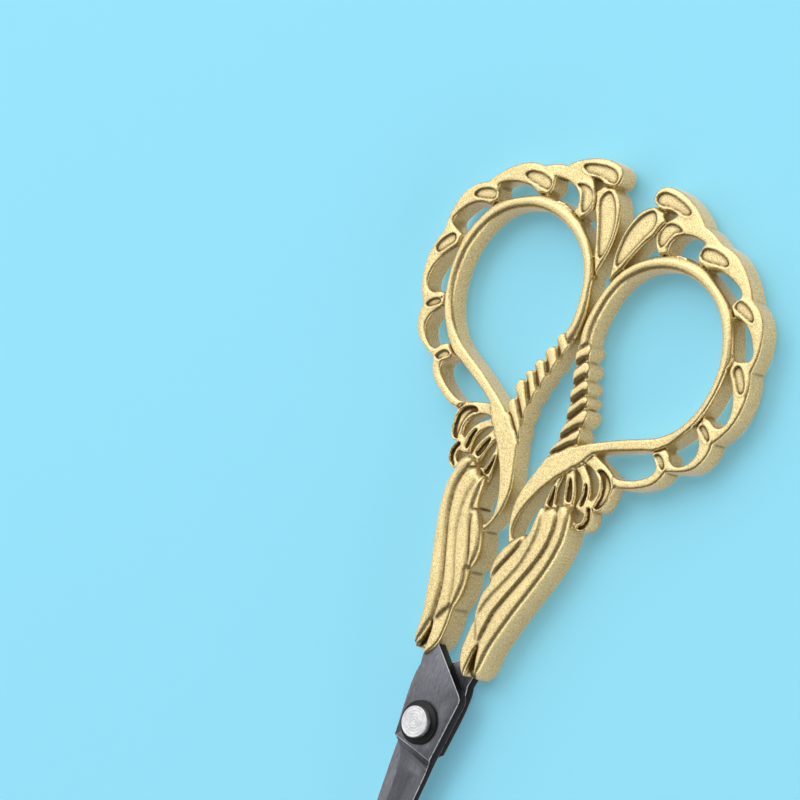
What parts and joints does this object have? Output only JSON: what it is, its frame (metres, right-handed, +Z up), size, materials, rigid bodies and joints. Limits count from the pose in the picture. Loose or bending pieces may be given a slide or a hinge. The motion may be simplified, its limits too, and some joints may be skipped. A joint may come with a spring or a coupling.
{
  "type": "embroidery scissors",
  "caption": "Small embroidery scissors with dark pointed blades on a rivet and gold cast handles, pierced with scalloped borders, feather bundles and rope-twist shanks around the finger rings.",
  "frame": {"origin": "centre of the bounding box in X and Y, on the plane the closed scissors rest on", "axes": "+Y from the blade tips toward the finger rings, +X toward the right handle with the rivet head up, +Z up out of the rivet head"},
  "size_m": [0.061, 0.1268, 0.0058],
  "materials": {
    "gold_casting": "satin metallic gold",
    "blade_steel": "dark brushed satin",
    "bright_rivet": "turned bright",
    "black_washer": "black satin"
  },
  "bodies": {
    "right_half": {"right_handle": "gold_casting", "rear_blade": "blade_steel", "pivot_rivet": "bright_rivet", "pivot_washer": "black_washer"},
    "left_half": {"left_handle": "gold_casting", "front_blade": "blade_steel"}
  },
  "joints": [
    {"name": "pivot_hinge", "type": "hinge", "parent": "right_half", "child": "left_half", "pos_m": [0, -0.0202, 0.0026], "axis": [0, 0, 1], "range_deg": [0, 75]}
  ]
}
